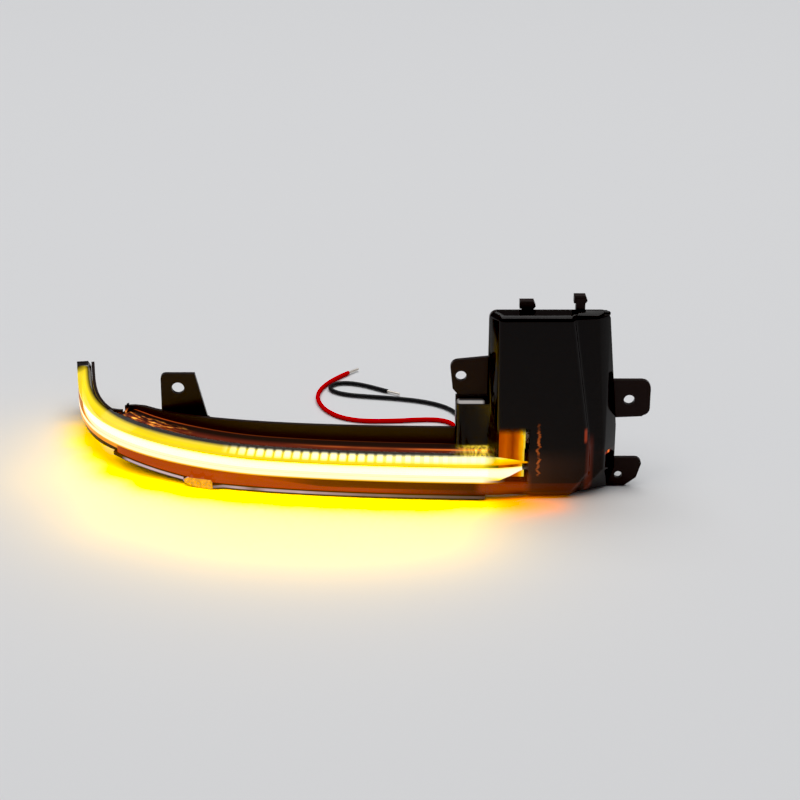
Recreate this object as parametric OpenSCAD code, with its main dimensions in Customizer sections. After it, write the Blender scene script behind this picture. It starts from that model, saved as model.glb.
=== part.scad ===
// Mirror turn signal lamp: a swept light strip with two lit bands, joined to a tall tail
// housing that holds the driver electronics. Millimetres, +Z up, standing on the table.

/* [Strip curve] */
// Place of the strip's right end, from the frame's middle
strip_end_x = 67; // [60:1:72]
// How far the lit crease runs to the left, from its right end to the tip
strip_reach = 187.8; // [180:0.2:194]
// How far the tip sweeps back from the nose line
strip_sweep = 88.5; // [80:0.5:94]
// Nose line of the strip, in front of the frame's middle
nose_y = 10.5; // [10:0.5:12]
// Length of the nearly straight run at the tail end of the curve
near_run = 186.5; // [176:0.5:192]
// Length of the nearly straight run at the tip end of the curve
far_run = 52.8; // [46:0.2:58]
// Height of the crease between the two lit bands, above the table
crease_z = 15; // [14.5:0.1:16]
// How much the crease climbs toward the tip
tip_rise = 4.5; // [3.5:0.1:5]

/* [Lens] */
// Thickness of the smoked lens
lens_wall = 1.8; // [1.5:0.1:2]
// Depth of the upper lit band, from the crease back
band_depth = 6; // [5.8:0.1:6.6]
// Rise of the upper lit band over its depth
band_rise = 2.5; // [2.2:0.1:2.8]
// Height of the lower lit band
band_drop = 8.6; // [8.4:0.1:9]
// Depth of the strip from the crease to the back wall
strip_depth = 13.2; // [13:0.1:14]
// Depth of the narrow run near the tip
narrow_depth = 7.6; // [7.4:0.1:8]
// Length of the narrow run that carries no skirt
narrow_run = 66; // [60:1:72]
// How far the lower band leans out at the tip
tip_flare = 0.8; // [0.4:0.1:1.4]

/* [Housing] */
// Thickness of the housing walls
case_wall = 1.8; // [1.5:0.1:2]
// Thickness of the housing floor
floor_t = 1.5; // [1.4:0.1:1.8]
// Height of the floor's underside above the table
floor_z = 0.8; // [0.6:0.1:1]
// Height of the top of the strip's back wall above the table
back_wall_z = 25; // [24:0.5:27]

/* [Tail] */
// Left side of the tail, from the frame's middle
tail_side = 48.4; // [48:0.1:49]
// Width of the tail at its top
tail_w = 46; // [45:0.5:48]
// How much wider the tail is low down, on its right side
tail_spread = 4.5; // [3.5:0.5:5.5]
// Height of the tail above the table
tail_h = 75.5; // [73:0.5:78]
// Depth of the tail's front part at its top, before the flange
tail_front = 6.3; // [6:0.1:7]
// How much further forward the front face stands low down
tail_lean = 4.7; // [4.4:0.1:5]
// Round of the tail's lower front edge
tail_round = 5; // [4:0.5:6]
// Depth of the rear box behind the flange
tail_back = 18; // [17:0.5:20]
// Thickness of the mounting flange and its ears
flange_t = 2; // [1.8:0.1:2.4]

/* [Ears] */
// Bore of the ear on the strip
strip_ear_bore = 5; // [4.5:0.1:5.4]
// Bore of the left and upper right ears
tail_ear_bore = 4.2; // [3.8:0.1:4.6]
// Bore of the lower right ear
low_ear_bore = 3; // [2.6:0.1:3.4]

/* [Lights] */
// Distance between neighbouring LEDs
led_pitch = 3.66; // [3.6:0.02:4]
// Thickness of the milky lower bar
bar_t = 2; // [1.8:0.1:2.2]
// Thickness of the upper light guide
guide_t = 1.6; // [1.4:0.1:1.8]
// Thickness of the boards
board_t = 0.8; // [0.7:0.05:0.9]
// Height of an LED above its board
led_h = 0.9; // [0.7:0.05:1]

/* [Leads] */
// Diameter of the two supply leads
lead_d = 1.7; // [1.6:0.05:1.8]

/* [Hidden] */

$fn = 48;
black_plastic = [0.05, 0.05, 0.06];
smoke = [0.16, 0.12, 0.1];
amber = [1, 0.72, 0.1];
milk = [1, 0.93, 0.6];
board_green = [0.1, 0.35, 0.2];

fit = 0.15;        // clearance between pieces that seat on each other
play = 0.3;        // clearance round a piece that is let in loosely

// The rail is the lit crease seen from above: a cubic curve, walked by its length.
flange_set = 2;       // the flange's front face, behind the raw middle
home = [-4.45, 34.18];   // the middle of the lamp's outline, which becomes the origin
rail_p0 = [strip_end_x, -nose_y] - home;
rail_p1 = rail_p0 + [-near_run, 2.6];
rail_p3 = rail_p0 + [-strip_reach, strip_sweep];
rail_p2 = rail_p3 + [7.2, -far_run];
function curve(t) = pow(1 - t, 3) * rail_p0 + 3 * pow(1 - t, 2) * t * rail_p1
                    + 3 * (1 - t) * t * t * rail_p2 + t * t * t * rail_p3;
function curve_dir(t) = 3 * pow(1 - t, 2) * (rail_p1 - rail_p0)
                    + 6 * (1 - t) * t * (rail_p2 - rail_p1) + 3 * t * t * (rail_p3 - rail_p2);
samples = 120;
steps = [for (i = [0 : samples - 1]) norm(curve((i + 1) / samples) - curve(i / samples))];
function run(v, n) = [for (i = 0, s = 0; i <= n; s = s + (i < n ? v[i] : 0), i = i + 1) s];
lengths = run(steps, samples);
rail_length = lengths[samples];
rail_table = [for (i = [0 : samples]) [lengths[i], i / samples]];
function at(l) = lookup(l, rail_table);
function unit(v) = v / norm(v);
function outward(l) = let (d = unit(curve_dir(at(l)))) [-d[1], d[0]];
// Where the skirt ends, the sections turn to face straight back
skew = 0.55;
function turned(l, o) = l + skew * max(0, -o) * ease(step_l - 40, step_l, l) * (1 - ease(step_l, step_l + 25, l));
function plan(l, o) = let (m = turned(l, o)) curve(at(m)) + o * outward(m);
function place(l, p) = let (q = plan(l, p[0])) [q[0], q[1], p[1]];
function ease(a, b, v) = let (t = min(1, max(0, (v - a) / (b - a)))) t * t * (3 - 2 * t);

// Height of the crease, and the stations along the strip
rise_start = 105;
rise_end = 200;
function crease(l) = crease_z + tip_rise * ease(rise_start, rise_end, l);
step_l = rail_length - narrow_run;
tip_l = rail_length;
end_fade = 16;     // run over which the strip closes into the tail
function span(a, b, n) = [for (i = [0 : n]) a + (b - a) * i / n];

// A closed solid through profiles of equal point count, each a list of [x, y, z]
module loft(rings) {
    n = len(rings[0]);
    m = len(rings);
    ahead = rings[1][0] - rings[0][0];
    turn = [for (i = [0 : n - 1]) cross(rings[0][i], rings[0][(i + 1) % n])];
    facing = [for (v = turn) v * ahead];
    inward = facing * [for (v = turn) 1] > 0;
    pts = [for (r = rings) each (inward ? [for (i = [n - 1 : -1 : 0]) r[i]] : r)];
    sides = [for (j = [0 : m - 2], i = [0 : n - 1], k = [0, 1])
        let (a = j * n + i, b = j * n + (i + 1) % n, c = a + n, d = b + n)
        k == 0 ? [a, b, d] : [a, d, c]];
    first = [for (i = [n - 1 : -1 : 0]) i];
    last = [for (i = [0 : n - 1]) (m - 1) * n + i];
    polyhedron(pts, concat(sides, [first, last]), convexity = 8);
}

// A flat plate that follows the rail between two outward distances
module rail_plate(l0, l1, o0, o1, z0, z1, n = 30) {
    ls = span(l0, l1, n);
    translate([0, 0, z0]) linear_extrude(z1 - z0) polygon(concat(
        [for (l = ls) plan(l, o0)], [for (i = [n : -1 : 0]) plan(ls[i], o1)]));
}

// Section of the strip, as [outward, height]: t runs along a band from the crease, d is depth
// behind the lens skin. The bands meet in a mitre at the crease.
band_len = norm([band_depth, band_rise]);
up_dir = [-band_depth, band_rise] / band_len;
up_in = [-up_dir[1], up_dir[0]];
low_lean = 0.8;
low_len = norm([low_lean, band_drop]);
low_dir = [-low_lean, -band_drop] / low_len;
low_in = [low_dir[1], -low_dir[0]];
bend = acos(up_dir * low_dir);
function mitre(d) = d / tan(bend / 2);
function up(t, d) = t * up_dir + d * up_in;
function low(t, d) = t * low_dir + d * low_in;
function shift(p, h) = [p[0], p[1] + h];

// Depths behind the lens skin, from the front inward
skin = lens_wall + fit;
guide_back = skin + guide_t;
led_gap = 0.5;       // from the light guide to the LEDs
led_top = guide_back + led_gap;
board_top = led_top + led_h;
shelf_top = board_top + board_t + fit;
shelf_t = 1.2;
rib_half = 0.45;
rib_gap = (rib_half + fit) / sin(bend / 2);

// Outer skin of the lens at a station: top edge, band edge, crease, band foot, skirt foot
top_slope = 0.7;
skirt_z = floor_z + floor_t + fit;
function flare(l) = tip_flare * ease(rise_start, rise_end, l);
function fade(l) = -2.6 * (1 - ease(0, end_fade, l));
function skin_line(l, wide, d) = let (c = crease(l), f = fade(l))
    [[0, c + band_rise + top_slope - d],
     [f - band_depth - 0.2 * d, c + band_rise - d * 1.02],
     [f + up(mitre(d), d)[0], c + up(mitre(d), d)[1]],
     [f - low_lean + flare(l) - d, c - band_drop],
     wide ? [f + low_lean * 0.25 - d, skirt_z] : [f - low_lean + flare(l) - d, c - band_drop - 0.8]];
// The strip as one closed solid: the wide run that carries the skirt, then the narrow run
wide_rings = 34;
narrow_rings = 16;
// Where the strip enters the tail its back stays in front of the flange
tail_depth = nose_y + flange_set - 0.1;
function strip_back(l) = tail_depth + (strip_depth - tail_depth) * ease(22, 40, l);
function strip_ring(l, wide, d, over) = let (v = skin_line(l, wide, d),
        back = (wide ? strip_back(l) : narrow_depth) + over)
    [for (p = [[-back, v[0][1]], v[1], v[2], v[3], [v[4][0], v[4][1] - over],
               [-back, v[4][1] - over]]) place(l, p)];
module strip_form(l0, l1, step, d, over) {
    loft(concat([for (l = span(l0, step, wide_rings)) strip_ring(l, true, d, over)],
                [for (l = span(step + 0.3, l1, narrow_rings)) strip_ring(l, false, d, over)]));
}

tail_x = tail_side - home[0];
// Outline of the tail in X and Z as seen from the front, drawn in by d, its top lowered by drop,
// its underside at the height low
spread_z = 27;
corner_r = 3;
function arc(c, r, a0, a1, n) = [for (i = [0 : n]) c + r * [cos(a0 + (a1 - a0) * i / n), sin(a0 + (a1 - a0) * i / n)]];
tail_right = tail_x + tail_w;
function tail_outline(d, drop, low) = let (r = corner_r, top = tail_h - drop - d) concat(
    [[tail_x + d, low], [tail_right + tail_spread - 4 - d * 1.2, low],
     [tail_right + tail_spread - d, 8 + d / 2], [tail_right + tail_spread - d, spread_z]],
    arc([tail_right - r - d, top - r], r, 5, 90, 5),
    arc([tail_x + r + d, top - r], r, 90, 180, 5));

// Depths of the tail's front part
flange_y = flange_set - home[1];
front_top = flange_y - tail_front;
front_low = front_top - tail_lean;
lean_z = 22;
// A solid from a front view in X and Z, carried from y0 back to y1
module back_from(y0, y1) {
    translate([0, y1, 0]) rotate([90, 0, 0]) linear_extrude(y1 - y0) children();
}

// Front of the tail lens, drawn in by d: a shoulder all over and a raised window on its left
window_right = 33;      // width of the raised window at its top, from the tail's left side
window_low_right = 40;  // the same, low down
window_set = 3;         // how far the shoulder stands behind the window
edge_r = 2.4;           // round of the front edges
side_draft = 3;         // how far the front edges stand in from the flange
module bead(x, y, z, d) {
    translate([x, y, z]) sphere(r = edge_r - d, $fn = 24);
}
module front_form(start, right, low_right, set, foot, d, over) {
    left = tail_x + start + side_draft + edge_r;
    hull() {
        back_from(flange_y - 0.4, flange_y + over) polygon([
            [tail_x + start + d, foot + d], [tail_x + low_right + 1 - d, foot + d],
            [tail_x + low_right + 4 - d, foot + 8], [tail_x + low_right + 4 - d, spread_z],
            [tail_x + right + 3 - d, tail_h - corner_r], [tail_x + right + 1.5 - d, tail_h - d],
            [tail_x + start + corner_r, tail_h - d], [tail_x + start + d, tail_h - corner_r]]);
        for (x = [left, tail_x + right - edge_r])
            bead(x, front_top + set + edge_r, tail_h - 0.5 - edge_r, d);
        for (x = [left, tail_x + low_right - edge_r])
            bead(x, front_low + set + edge_r, lean_z, d);
        bead(tail_x + low_right - edge_r, front_low + set + edge_r, 12, d);
        translate([left, front_low + set + tail_round, foot + tail_round]) rotate([0, 90, 0])
            cylinder(r = tail_round - d, h = low_right - 10 - side_draft - start, $fn = 32);
    }
}
module tail_form(d, over) {
    front_form(0, window_right, window_low_right, 0, 0, d, over);
    front_form(6, tail_w - 2.5, tail_w + tail_spread - 4, window_set, 0.6, d, over + 0.1);
}

// Smoked block beside the tail, under the left ear
block_w = 12.4;
block_top = 38.5;
block_front = flange_y - 3;
module side_block(d, over) {
    hull() for (x = [tail_x - block_w + 2, tail_x + 6], z = [crease_z, block_top - 2]) {
        translate([x, block_front + 2, z]) sphere(r = 2 - d, $fn = 16);
        translate([x, flange_y + over, z]) rotate([90, 0, 0]) cylinder(r = 2 - d, h = 0.4, $fn = 16);
    }
}

tip_t = 4;
module lens() {
    color(smoke, 0.6) difference() {
        union() {
            strip_form(4, tip_l, step_l, 0, 0);
            intersection() {
                union() {
                    tail_form(0, 0);
                    side_block(0, 0);
                }
                before_flange();
            }
            foot_nub();
            corner_fin();
            top_bump();
        }
        strip_form(2, tip_l - tip_t, step_l - lens_wall, lens_wall, 3);
        tail_form(lens_wall, 1);
        side_block(lens_wall, 1);
        tip_notch();
    }
}
// All that lies in front of the flange, round the tail
module before_flange() {
    translate([tail_x - 20, flange_y - 60, -1]) cube([90, 60, tail_h + 10]);
}
// Slot across the solid tip
module tip_notch() {
    translate([0, 0, 1.5]) rail_plate(tip_l - 3, tip_l + 1, -3.2, -4.1, crease_z + tip_rise, 30, 2);
}
// Moulded foot under the strip, and its place along the rail
nub_l = 132.5;
nub_w = 9;
module foot_nub() {
    hull() {
        rail_plate(nub_l - nub_w / 2, nub_l + nub_w / 2, 0.6, -2.2, floor_z, skirt_z + 1, 2);
        rail_plate(nub_l - nub_w / 2 + 2, nub_l + nub_w / 2 - 2, 0.3, -1.9, 0, floor_z, 2);
    }
}
// Raised corner of the lens where the skirt ends
module corner_fin() {
    hull() {
        rail_plate(step_l - 1.4, step_l - 0.5, -narrow_depth - 1, -strip_depth + 0.3,
                   crease(step_l) - 2, crease(step_l) + 2.8, 1);
        rail_plate(step_l - 1.4, step_l - 0.5, -strip_depth + 1.4, -strip_depth + 0.3,
                   crease(step_l), crease(step_l) + 6, 1);
    }
}
// Small moulded bump on the top edge
module top_bump() {
    hull() for (x = [tail_right - 1.6, tail_right - 0.6])
        translate([x, flange_y - 1, tail_h - 1]) sphere(r = 1, $fn = 12);
}

module lower_light_bar() {
    color(milk) bar_solid(
        function (d) mitre(d) + rib_gap, band_drop - 0.5, skin, skin + bar_t, true);
}
module bar_solid(front, t1, d0, d1, lower) {
    loft([for (l = span(1.5, tip_l - tip_t - 1, 56))
        let (k = ease(0, end_fade, l) * 0.94 + 0.06, f = fade(l), c = crease(l))
        [for (q = [[0, d0], [1, d0], [1, d1], [0, d1]])
            let (t = front(q[1]) + q[0] * (t1 - front(q[1])) * k,
                 p = lower ? low(t, q[1]) : up(t, q[1]),
                 lean = lower ? flare(l) * t / band_drop : 0)
            place(l, [p[0] + f + lean, p[1] + c])]]);
}
module upper_light_guide() {
    color(milk) bar_solid(
        function (d) mitre(d) + rib_gap, band_len - 0.2, skin, guide_back, false);
}

// Reflector carrier behind the bars
carrier_back = strip_depth - play - 1.2;
carrier_floor = band_drop + 0.9;
module light_carrier() {
    color(black_plastic) union() {
        loft([for (l = span(20, step_l - 2.2, 36)) [for (p = carrier_profile(l)) place(l, p)]]);
    }
}
shelf_start = 4.6;
function carrier_profile(l) = let (c = crease(l), b = carrier_back,
        front = up(shelf_start, shelf_top), under = up(shelf_start, shelf_top + shelf_t),
        slope = band_rise / band_depth, run = b + front[0])
    [for (p = [front, [-b, front[1] + run * slope], [-b - 1.2, front[1] + run * slope],
               [-b - 1.2, -carrier_floor - 1], [-skin - bar_t - 1, -carrier_floor - 1],
               [-skin - bar_t - 1, -carrier_floor], [-b, -carrier_floor], [-b, under[1] + run * slope - 0.2],
               under])
        shift(p, c)];

module lower_led_board() {
    color(board_green) loft([for (l = span(21, step_l - 4, 36)) [for (p = [
        [-carrier_back + fit, -3.6], [-carrier_back + fit + board_t, -3.6],
        [-carrier_back + fit + board_t, -band_drop], [-carrier_back + fit, -band_drop]])
        place(l, shift(p, crease(l)))]]);
}
module upper_led_board() {
    color(board_green) loft([for (l = span(21, step_l - 4, 36)) [for (p = [
        up(shelf_start, board_top), up(shelf_start + 4.4, board_top),
        up(shelf_start + 4.4, board_top + board_t), up(shelf_start, board_top + board_t)])
        place(l, shift(p, crease(l)))]]);
}

// One LED package, placed on the rail with its light side outward
led_w = 2.8;
led_d = 2.4;
led_first = 24;
led_last = step_l - 8;
led_count = floor((led_last - led_first) / led_pitch);
module on_rail(l) {
    p = plan(l, 0);
    o = outward(l);
    translate([p[0], p[1], crease(l)]) rotate([0, 0, atan2(o[1], o[0])]) children();
}
module lower_leds() {
    color("white") for (i = [0 : led_count])
        on_rail(led_first + i * led_pitch)
            translate([-carrier_back + fit + board_t, -led_w / 2, -7.4]) cube([led_h, led_w, 2.6]);
}
module upper_leds() {
    q = up(shelf_start + 0.6, board_top - 0.2);
    color("white") for (i = [0 : led_count])
        on_rail(led_first + i * led_pitch)
            translate([q[0], -led_w / 2, q[1]]) rotate([0, atan2(band_rise, band_depth), 0])
                translate([-led_d, 0, 0]) cube([led_d, led_w, led_h]);
}

// Housing: floor, back wall, narrow run, tail box, flange and ears
rim_out = 0.6;
floor_end = strip_end_x - tail_side + 0.8;
wall_end = 4;
case_depth = strip_depth + case_wall;
floor_top = floor_z + floor_t;
narrow_floor_z = crease_z + tip_rise - band_drop - 2.6;
narrow_top_z = crease_z + tip_rise + band_rise + 0.7;
module strip_case() {
    difference() {
        rail_plate(floor_end, step_l + case_wall, rim_out, -case_depth, floor_z, floor_top, 28);
        translate([0, 0, -fit]) rail_plate(nub_l - nub_w / 2 - fit, nub_l + nub_w / 2 + fit, 2, -2.2 - fit,
                                           0, floor_top + 1, 2);
    }
    difference() {
        rail_plate(wall_end, step_l + case_wall, -strip_depth - fit, -case_depth, floor_top - 0.2, back_wall_z, 30);
        wall_top_cut();
    }
    rail_plate(step_l + 0.6, step_l + case_wall, -narrow_depth - 0.5, -case_depth + 0.2, floor_z + 0.2, back_wall_z - 4, 1);
    rail_plate(step_l + 0.7, tip_l - 0.2, -narrow_depth - fit, -narrow_depth - case_wall,
               narrow_floor_z, narrow_top_z, 14);
    rail_plate(step_l + 0.7, tip_l - 0.4, -1.4, -narrow_depth - case_wall + 0.4,
               narrow_floor_z - 1.4, narrow_floor_z + 0.1, 14);
}
// The back wall's top falls a little from the tail to the left
module wall_top_cut() {
    translate([-130, -90, back_wall_z - 2.4]) rotate([0, -0.8, 0]) cube([260, 180, 12]);
}
// Wall behind the smoked block
module block_wall() {
    back_from(flange_y + fit, flange_y + flange_t) polygon([
        [tail_x - block_w, back_wall_z - 5], [tail_x + 3, back_wall_z - 5], [tail_x + 3, block_top + 1],
        [tail_x - block_w, block_top + 1]]);
}

// Rear box of the tail behind the flange, lower than the flange so that it hides behind it
box_in = 3;
box_drop = 7.5;
module tail_box() {
    difference() {
        back_from(flange_y + 0.5, flange_y + tail_back) polygon(tail_outline(box_in, box_drop, 0));
        back_from(flange_y - 1, flange_y + tail_back - case_wall)
            polygon(tail_outline(box_in + case_wall, box_drop, case_wall));
        grommet_hole();
    }
    board_bosses();
}
module tail_flange() {
    difference() {
        back_from(flange_y + fit, flange_y + flange_t) polygon(tail_outline(0, 0.6, 0));
        back_from(flange_y - 1, flange_y + flange_t + 1)
            polygon(tail_outline(box_in + case_wall, box_drop, case_wall));
    }
}

// Ears on the flange plane, each a plate with a rounded end and a true bore
module ear(points, bore_x, bore_z, bore, y0 = flange_y + fit, t = flange_t - fit) {
    difference() {
        back_from(y0, y0 + t) polygon(points);
        translate([bore_x, y0 - 1, bore_z]) rotate([-90, 0, 0]) cylinder(d = bore, h = t + 2);
    }
}
module left_ear() {
    x = tail_x - 14.6;
    ear(concat([[tail_x + 3, 40], [x + 3, 40], [x + 1, 42.5]],
               arc([x + 3, 51.5], 3, 180, 90, 4), [[tail_x + 3, 56]]),
        tail_x - 10.4, 47.8, tail_ear_bore);
}
module upper_right_ear() {
    x = tail_right + tail_spread;
    ear(concat([[x - 3, 30], [x + 10, 30.6]], arc([x + 10, 34], 3, -80, 0, 4),
               arc([x + 9.5, 42.5], 3.5, 0, 90, 4), [[x - 3, 46]]),
        x + 4.8, 37.6, tail_ear_bore);
}
module lower_right_ear() {
    x = tail_right + tail_spread;
    ear(concat([[x - 5, 0.5], [x + 4.5, 0.5], [x + 9, 4]], arc([x + 8.2, 10], 2.6, 0, 90, 4),
               [[x - 3, 12.6]]),
        x + 1.9, 5.2, low_ear_bore);
}
strip_ear_l = 144;
strip_ear_top = 38.6;
strip_ear_left = 8;
strip_ear_right = 11;
// The ear stands clear behind the curved wall, on a shelf that reaches back to it
strip_ear_x = plan(strip_ear_l, -strip_depth)[0];
strip_ear_y = plan(strip_ear_l + strip_ear_left, -case_depth)[1] + 0.6;
module strip_ear() {
    ear(concat([[strip_ear_x - strip_ear_left, back_wall_z - 8], [strip_ear_x + strip_ear_right, back_wall_z - 8],
                [strip_ear_x + 5.6, strip_ear_top]],
               arc([strip_ear_x - 6, strip_ear_top - 2], 2, 90, 180, 4)),
        strip_ear_x - 1.2, strip_ear_top - 6.2, strip_ear_bore, strip_ear_y, flange_t);
    translate([0, 0, back_wall_z - 8]) linear_extrude(3) polygon(concat(
        [for (l = span(strip_ear_l - 14, strip_ear_l + strip_ear_left, 4)) plan(l, -case_depth + 0.6)],
        [[strip_ear_x - strip_ear_left + 0.2, strip_ear_y + 1.2],
         [strip_ear_x + strip_ear_right - 0.2, strip_ear_y + 1.2]]));
}

// Snap hooks on top of the tail
hook_t = 3.2;
module hook(x, y, h, w) {
    translate([x, y, tail_h - 3]) {
        translate([-w / 2 + 0.8, 0, 0]) cube([w - 1.6, hook_t, h + 2]);
        translate([0, hook_t - 0.1, 0]) rotate([90, 0, 0]) linear_extrude(hook_t - 0.2) polygon([
            [-w / 2, h], [w / 2 - 0.6, h], [w / 2, h + 1], [w / 2 - 0.8, h + 3], [-w / 2, h + 3]]);
    }
}
hook_one_x = 14.6;
hook_two_x = 34.8;
module hooks() {
    hook(tail_x + hook_one_x, flange_y + 0.2, 3.4, 6.2);
    hook(tail_x + hook_two_x, flange_y + 0.2, 5.6, 5.2);
}

module housing() {
    color(black_plastic) union() {
        strip_case();
        block_wall();
        tail_box();
        tail_flange();
        left_ear();
        upper_right_ear();
        lower_right_ear();
        strip_ear();
        hooks();
    }
}

// Baffle that closes the lit end of the strip inside the tail, with a short fin toward the front
baffle_in = 5;      // from the tail's left side
baffle_w = 10;
baffle_z = 5;
baffle_h = 23;
baffle_t = 1;
baffle_gap = 0.2;   // from the baffle to the flange plane
fin_h = 9;
fin_out = 3.5;
module end_baffle() {
    color(amber) translate([tail_x + baffle_in, flange_y - baffle_gap - baffle_t, baffle_z]) {
        cube([baffle_w, baffle_t, baffle_h]);
        translate([baffle_w - baffle_t, -fin_out, baffle_h - fin_h]) cube([baffle_t, fin_out + baffle_t / 2, fin_h]);
    }
}

// Driver board, held by two screws on bosses in the tail box. The pieces on it keep their shares
// of its width and height.
board_gap = 3;      // from the board's edges to the box's walls
driver_t = 1.2;
driver_set = 11;    // from the flange plane back to the board's front
board_z = 14;
board_x = tail_x + box_in + case_wall + board_gap;
board_y = flange_y + driver_set;
board_w = tail_w - 2 * (box_in + case_wall + board_gap);
board_h = tail_h - box_drop - box_in - case_wall - board_gap - board_z;
screw_x = 0.3;      // share of the board's width
screw_in = 3;       // from the board's lower and upper edge
screw_head = 5;
screw_head_t = 1.6;
screw_d = 2.2;
screw_l = 4.6;      // from under the head
boss_d = 6;
module at_screws() {
    for (z = [screw_in, board_h - screw_in])
        on_board(screw_x, 0) translate([0, 0, z]) rotate([-90, 0, 0]) children();
}
module board_bosses() {
    at_screws() difference() {
        translate([0, 0, driver_t]) cylinder(d = boss_d, h = tail_back - driver_set - driver_t - case_wall / 2);
        cylinder(d = screw_d + 2 * fit, h = screw_l + play);
    }
}
module driver_board() {
    color(board_green) difference() {
        translate([board_x, board_y, board_z]) cube([board_w, driver_t, board_h]);
        at_screws() translate([0, 0, -1]) cylinder(d = screw_d + 2 * fit, h = driver_t + 2);
    }
}
module on_board(x, z) {
    translate([board_x + x * board_w, board_y, board_z + z * board_h]) children();
}
// A block standing forward on the board
module chip(size) {
    translate([0, -size[1], 0]) cube(size);
}
module controller_chip() { color([0.1, 0.1, 0.1]) on_board(0.3, 0.52) chip([8, 1.7, 8]); }
module regulator() { color([0.12, 0.12, 0.12]) on_board(0.14, 0.17) chip([7, 2.4, 8]); }
can_d = 5;
can_h = 6;
can_step = 7;
can_in = 8;
module capacitors() {
    color([0.6, 0.6, 0.62]) for (i = [0, 1])
        on_board(1, 1) translate([-can_d, 0, -can_in - i * can_step]) rotate([90, 0, 0])
            cylinder(d = can_d, h = can_h);
}
coil_d = 7;
coil_h = 3.2;
module coil() {
    color([0.25, 0.2, 0.18]) on_board(1, 0.26) translate([-coil_d - 1, 0, 0]) rotate([90, 0, 0])
        cylinder(d = coil_d, h = coil_h);
}
module diodes() {
    color([0.15, 0.15, 0.15]) for (z = [0.42, 0.56]) on_board(0.05, z) chip([4.4, 2, 2.6]);
}
module resistors() {
    color([0.2, 0.2, 0.22]) for (i = [0 : 4]) on_board(0.3 + i * 0.085, 0.4) chip([1.6, 0.6, 3.2]);
}
module board_screws() {
    color([0.7, 0.7, 0.72]) at_screws() {
        translate([0, 0, -screw_head_t]) cylinder(d = screw_head, h = screw_head_t);
        translate([0, 0, -0.1]) cylinder(d = screw_d, h = screw_l);
    }
}
// Flat ribbon from the lit end plate back to the board, over the strip's back wall
ribbon_w = 2.6;
ribbon_over = 1;
ribbon_t = 0.4;
module jumper_ribbon() {
    color([0.8, 0.8, 0.75]) translate([board_x + 2 * fit, flange_y - baffle_gap + fit, back_wall_z + ribbon_over])
        cube([ribbon_w, driver_set + baffle_gap - fit, ribbon_t]);
}

// Grommet in the left wall of the tail box, and the two leads that leave it
grommet_y = flange_y + 12;
grommet_z = 24;
module grommet_hole() {
    translate([tail_x + box_in - 1, grommet_y, grommet_z]) rotate([0, 90, 0]) cylinder(d = 8, h = case_wall + 2);
}
module wire_grommet() {
    color([0.08, 0.08, 0.08]) translate([tail_x + box_in - 2, grommet_y, grommet_z]) rotate([0, 90, 0])
        cylinder(d = 7.6, h = case_wall + 3);
}

tip_d = 1;      // bare tinned end of a lead
bare_l = 6;
module tube(points, d) {
    n = len(points);
    function heading(i) = unit(points[min(i + 1, n - 1)] - points[max(i - 1, 0)]);
    rings = [for (i = [0 : n - 1]) let (h = heading(i), s = unit(cross(h, [0, 0, 1])), u = cross(s, h))
        [for (k = [0 : 7]) points[i] + d / 2 * (cos(k * 45) * s + sin(k * 45) * u)]];
    loft(rings);
}
red_route = [[53.6, -20, 23], [50.5, -20, 23], [46, -14, 16], [44, -4, 8], [43, 8, 3], [44, 20, 1], [42, 28, 1],
             [34, 29, 1], [24, 27, 1], [12, 26, 1], [2, 27, 1], [-6, 31, 1], [-13, 39, 1], [-16, 50, 1],
             [-15, 60, 1], [-9, 70, 1], [-2, 77, 1]];
black_route = [[53.6, -20, 26], [50.5, -20, 26], [47, -10, 17], [46, 4, 8], [46, 18, 3], [45, 32, 1], [40, 43, 1],
               [30, 48, 1], [16, 51, 1], [2, 53, 1], [-6, 56, 1], [-10, 61, 1], [-7, 66, 1],
               [2, 64, 1], [9, 61, 1], [15, 57.5, 1]];
module red_lead() { color([0.8, 0.05, 0.05]) tube(red_route, lead_d); }
module black_lead() { color([0.08, 0.08, 0.08]) tube(black_route, lead_d); }
module red_lead_tip() { color([0.8, 0.75, 0.7]) translate(red_route[len(red_route) - 1]) rotate([0, 90, 45]) cylinder(d = tip_d, h = bare_l); }
module black_lead_tip() { color([0.8, 0.75, 0.7]) translate(black_route[len(black_route) - 1]) rotate([0, 90, -30.3]) cylinder(d = tip_d, h = bare_l); }

lens();
housing();
lower_light_bar();
upper_light_guide();
light_carrier();
lower_led_board();
upper_led_board();
lower_leds();
upper_leds();
end_baffle();
driver_board();
controller_chip();
regulator();
capacitors();
coil();
diodes();
resistors();
board_screws();
jumper_ribbon();
wire_grommet();
red_lead();
black_lead();
red_lead_tip();
black_lead_tip();
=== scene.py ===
# Mirror turn signal lamp, lit: a swept smoked strip with two amber bands and a tall tail housing.
import math
import bmesh
import bpy
import numpy as np
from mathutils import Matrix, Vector


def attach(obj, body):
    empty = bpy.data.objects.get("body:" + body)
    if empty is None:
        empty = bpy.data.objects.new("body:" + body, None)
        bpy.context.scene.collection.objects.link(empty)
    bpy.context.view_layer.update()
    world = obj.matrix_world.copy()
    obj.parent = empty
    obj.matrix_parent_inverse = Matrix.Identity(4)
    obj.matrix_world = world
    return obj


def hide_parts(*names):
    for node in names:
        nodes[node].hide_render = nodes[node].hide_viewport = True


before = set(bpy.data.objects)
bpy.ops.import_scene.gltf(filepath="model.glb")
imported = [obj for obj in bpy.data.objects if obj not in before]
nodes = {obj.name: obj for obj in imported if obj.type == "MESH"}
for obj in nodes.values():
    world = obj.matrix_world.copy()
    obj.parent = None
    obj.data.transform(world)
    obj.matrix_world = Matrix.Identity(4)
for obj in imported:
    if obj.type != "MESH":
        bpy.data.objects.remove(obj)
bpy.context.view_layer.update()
scene = bpy.context.scene
mm = 0.001
print("frame loaded, nodes:", len(nodes))

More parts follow.
